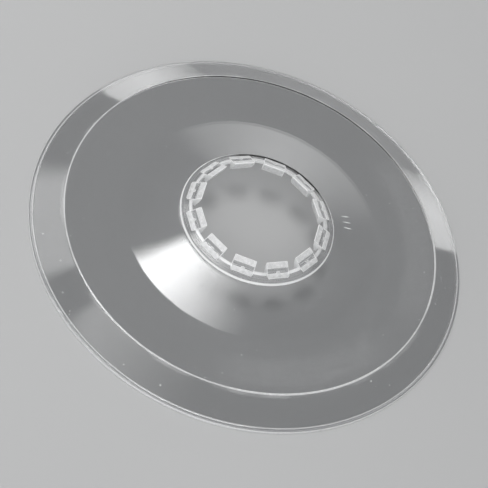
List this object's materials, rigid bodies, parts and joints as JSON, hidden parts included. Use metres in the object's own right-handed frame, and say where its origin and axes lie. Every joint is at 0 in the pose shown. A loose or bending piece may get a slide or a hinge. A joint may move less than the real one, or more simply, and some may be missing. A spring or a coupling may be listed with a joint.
{
  "type": "spoke protector disc",
  "caption": "Clear dished guard disc for a bicycle wheel, with a sloped rim flange, a flat web, a raised centre cone and a ring of flexing snap tabs around its bore that grip the hub.",
  "frame": {"origin": "on the axle's line, in the plane of the flat foot under the rim", "axes": "+Z is the axle's direction, pointing outboard, from the rim towards the raised centre; +X passes through the middle of the first snap tab"},
  "size_m": [0.14, 0.14, 0.0142],
  "materials": {
    "clear_plastic": "clear moulded plastic, polished on the cone and flange, with a fine matte haze on the flat web",
    "frosted_plastic": "the same clear plastic with a frosted, translucent white surface"
  },
  "bodies": {
    "disc": {"guard_disc": "clear_plastic"},
    "tab_01": {"snap_tab_01": "frosted_plastic"},
    "tab_02": {"snap_tab_02": "frosted_plastic"},
    "tab_03": {"snap_tab_03": "frosted_plastic"},
    "tab_04": {"snap_tab_04": "frosted_plastic"},
    "tab_05": {"snap_tab_05": "frosted_plastic"},
    "tab_06": {"snap_tab_06": "frosted_plastic"},
    "tab_07": {"snap_tab_07": "frosted_plastic"},
    "tab_08": {"snap_tab_08": "frosted_plastic"},
    "tab_09": {"snap_tab_09": "frosted_plastic"},
    "tab_10": {"snap_tab_10": "frosted_plastic"},
    "tab_11": {"snap_tab_11": "frosted_plastic"},
    "tab_12": {"snap_tab_12": "frosted_plastic"}
  },
  "joints": [
    {"name": "tab_01_flex", "type": "hinge", "parent": "disc", "child": "tab_01", "pos_m": [0.0208, 0, 0.01125], "axis": [0, 1, 0], "range_deg": [-6, 14]},
    {"name": "tab_02_flex", "type": "hinge", "parent": "disc", "child": "tab_02", "pos_m": [0.01801, 0.0104, 0.01125], "axis": [-0.5, 0.866, 0], "range_deg": [-6, 14]},
    {"name": "tab_03_flex", "type": "hinge", "parent": "disc", "child": "tab_03", "pos_m": [0.0104, 0.01801, 0.01125], "axis": [-0.866, 0.5, 0], "range_deg": [-6, 14]},
    {"name": "tab_04_flex", "type": "hinge", "parent": "disc", "child": "tab_04", "pos_m": [0, 0.0208, 0.01125], "axis": [-1, 0, 0], "range_deg": [-6, 14]},
    {"name": "tab_05_flex", "type": "hinge", "parent": "disc", "child": "tab_05", "pos_m": [-0.0104, 0.01801, 0.01125], "axis": [-0.866, -0.5, 0], "range_deg": [-6, 14]},
    {"name": "tab_06_flex", "type": "hinge", "parent": "disc", "child": "tab_06", "pos_m": [-0.01801, 0.0104, 0.01125], "axis": [-0.5, -0.866, 0], "range_deg": [-6, 14]},
    {"name": "tab_07_flex", "type": "hinge", "parent": "disc", "child": "tab_07", "pos_m": [-0.0208, 0, 0.01125], "axis": [0, -1, 0], "range_deg": [-6, 14]},
    {"name": "tab_08_flex", "type": "hinge", "parent": "disc", "child": "tab_08", "pos_m": [-0.01801, -0.0104, 0.01125], "axis": [0.5, -0.866, 0], "range_deg": [-6, 14]},
    {"name": "tab_09_flex", "type": "hinge", "parent": "disc", "child": "tab_09", "pos_m": [-0.0104, -0.01801, 0.01125], "axis": [0.866, -0.5, 0], "range_deg": [-6, 14]},
    {"name": "tab_10_flex", "type": "hinge", "parent": "disc", "child": "tab_10", "pos_m": [0, -0.0208, 0.01125], "axis": [1, 0, 0], "range_deg": [-6, 14]},
    {"name": "tab_11_flex", "type": "hinge", "parent": "disc", "child": "tab_11", "pos_m": [0.0104, -0.01801, 0.01125], "axis": [0.866, 0.5, 0], "range_deg": [-6, 14]},
    {"name": "tab_12_flex", "type": "hinge", "parent": "disc", "child": "tab_12", "pos_m": [0.01801, -0.0104, 0.01125], "axis": [0.5, 0.866, 0], "range_deg": [-6, 14]}
  ]
}
